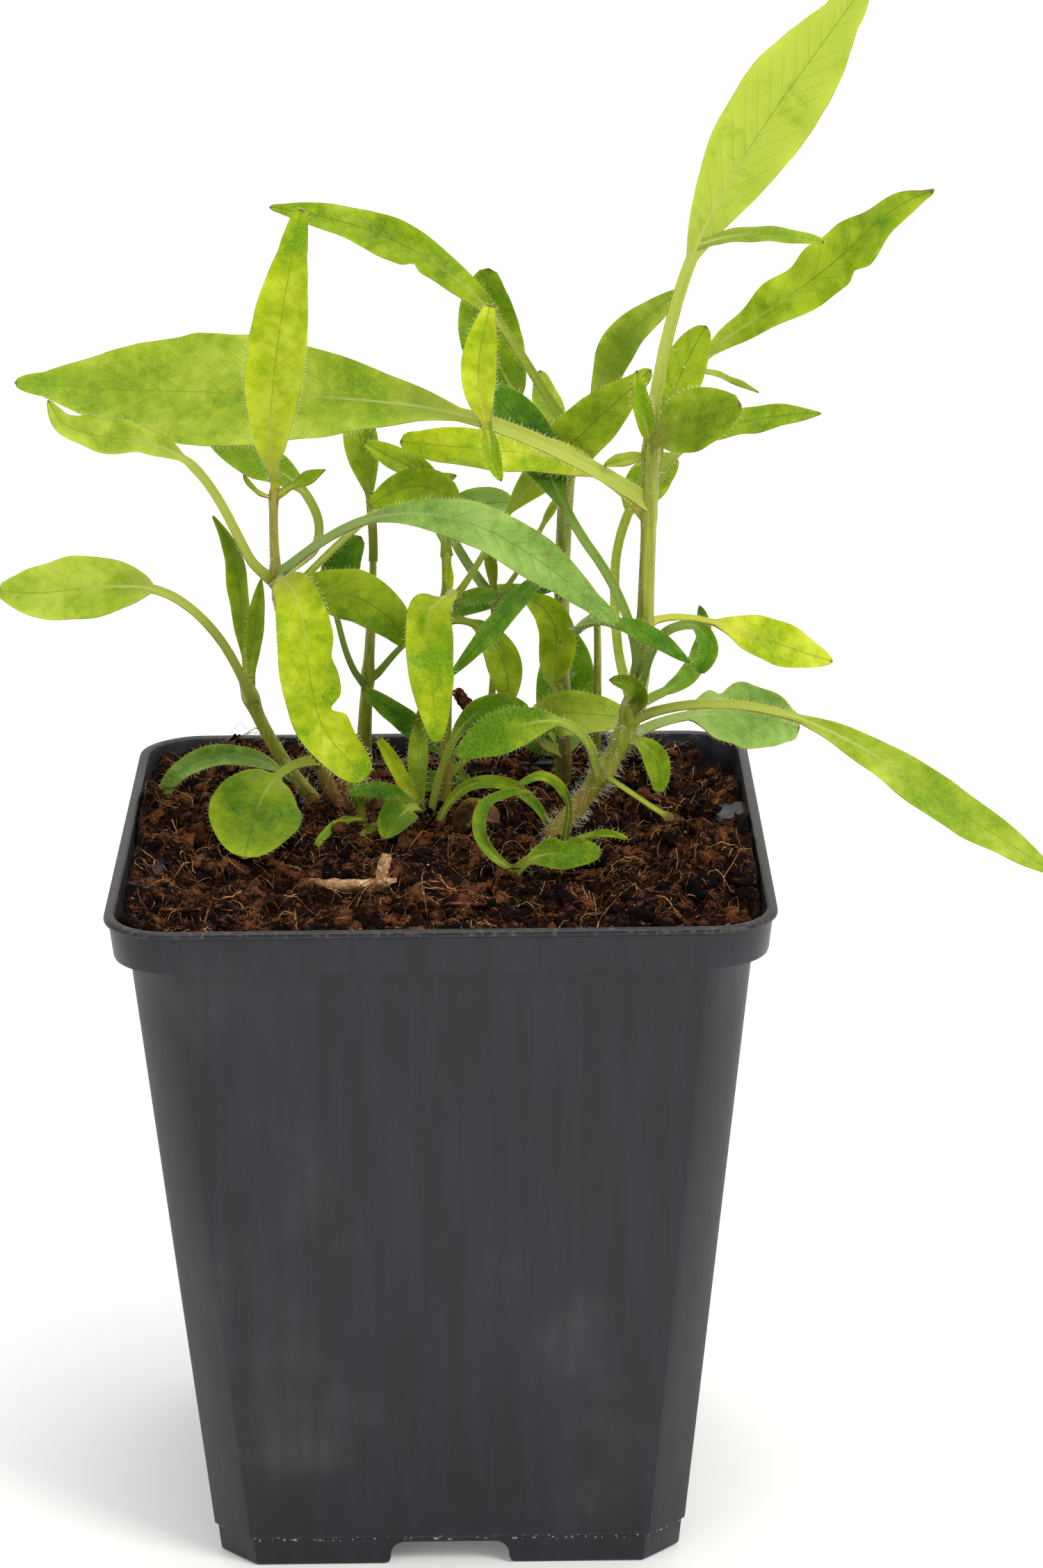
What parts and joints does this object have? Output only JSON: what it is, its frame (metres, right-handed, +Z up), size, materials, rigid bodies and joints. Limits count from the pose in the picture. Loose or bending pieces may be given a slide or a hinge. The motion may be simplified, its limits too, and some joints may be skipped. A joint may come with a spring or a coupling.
{
  "type": "potted young perennial plant",
  "caption": "Young bushy perennial with long narrow leaves on upright hairy stems, growing in a square anthracite nursery pot filled with dark potting soil.",
  "frame": {"origin": "middle of the whole object's bounding box, on the surface that the pot stands on", "axes": "+Z up along the pot, -Y towards the pot's front, +X towards the side where the long drooping leaf hangs over the rim"},
  "size_m": [0.148, 0.09, 0.2138],
  "materials": {
    "pot_plastic": "moulded satin plastic, anthracite, with faint upright flow marks",
    "soil": "loose dark peat with red-brown coir fibres, fully matt",
    "bark": "dry split bark, matt",
    "stem_green": "living stem, yellow-green, finely hairy, satin",
    "stem_red": "living stem, red-brown, finely hairy, satin",
    "leaf_young": "young leaf, yellow-green, satin, with a fine red margin and short hairs",
    "leaf_mid": "leaf, fresh green, satin",
    "leaf_pale": "leaf, pale green, matt, with a cream midrib",
    "leaf_grey": "leaf, soft grey green, matt",
    "leaf_dark": "older leaf, deep green, satin",
    "leaf_olive": "leaf, olive green with a dark margin, satin",
    "leaf_withered": "dried leaf, brown, matt"
  },
  "bodies": {
    "root": {"pot": "pot_plastic", "soil": "soil", "bark_chip": "bark", "stem_right": "stem_green", "stem_left_red": "stem_red", "stem_left_green": "stem_green", "stem_centre_left": "stem_green", "stem_centre": "stem_green", "stem_back": "stem_green", "stem_back_pale": "stem_green", "tall_right_leaf": "leaf_pale", "wavy_right_leaf": "leaf_mid", "upright_right_leaf": "leaf_mid", "round_olive_leaf": "leaf_olive", "behind_olive_leaf": "leaf_mid", "big_left_leaf": "leaf_pale", "yellow_cross_leaf": "leaf_young", "dark_green_leaf": "leaf_dark", "holed_back_leaf": "leaf_mid", "right_yellow_leaf": "leaf_young", "hooked_right_leaf": "leaf_dark", "olive_right_leaf": "leaf_dark", "silvery_leaf": "leaf_grey", "long_right_leaf": "leaf_pale", "broad_front_leaf": "leaf_mid", "hooked_top_leaf": "leaf_pale", "arch_top_leaf": "leaf_mid", "back_green_leaf": "leaf_mid", "bright_low_leaf": "leaf_pale", "folded_back_leaf": "leaf_mid", "back_broad_leaf": "leaf_dark", "dark_lance_leaf": "leaf_dark", "dark_cross_leaf": "leaf_dark", "diagonal_leaf": "leaf_mid", "small_arch_leaf": "leaf_mid", "front_centre_leaf": "leaf_young", "pale_hanging_leaf": "leaf_mid", "trumpet_leaf": "leaf_olive", "dark_oval_leaf": "leaf_dark", "dark_side_leaf": "leaf_dark", "tall_left_leaf": "leaf_young", "arch_front_leaf": "leaf_grey", "second_left_leaf": "leaf_pale", "bright_broad_leaf": "leaf_mid", "front_left_leaf": "leaf_young", "left_curled_leaf": "leaf_pale", "left_back_leaf": "leaf_pale", "round_front_left_leaf": "leaf_mid", "far_left_leaf": "leaf_pale", "olive_upright_leaf": "leaf_olive", "crown_young_leaves": "leaf_olive", "dried_brown_leaf": "leaf_withered", "spoon_leaf": "leaf_mid", "strap_leaf": "leaf_mid", "front_seedling_leaves": "leaf_mid", "curl_strap_leaf": "leaf_mid", "back_left_strap_leaf": "leaf_grey", "left_young_leaves": "leaf_olive", "withered_strands": "leaf_withered", "low_dark_leaves": "leaf_dark"}
  },
  "joints": []
}
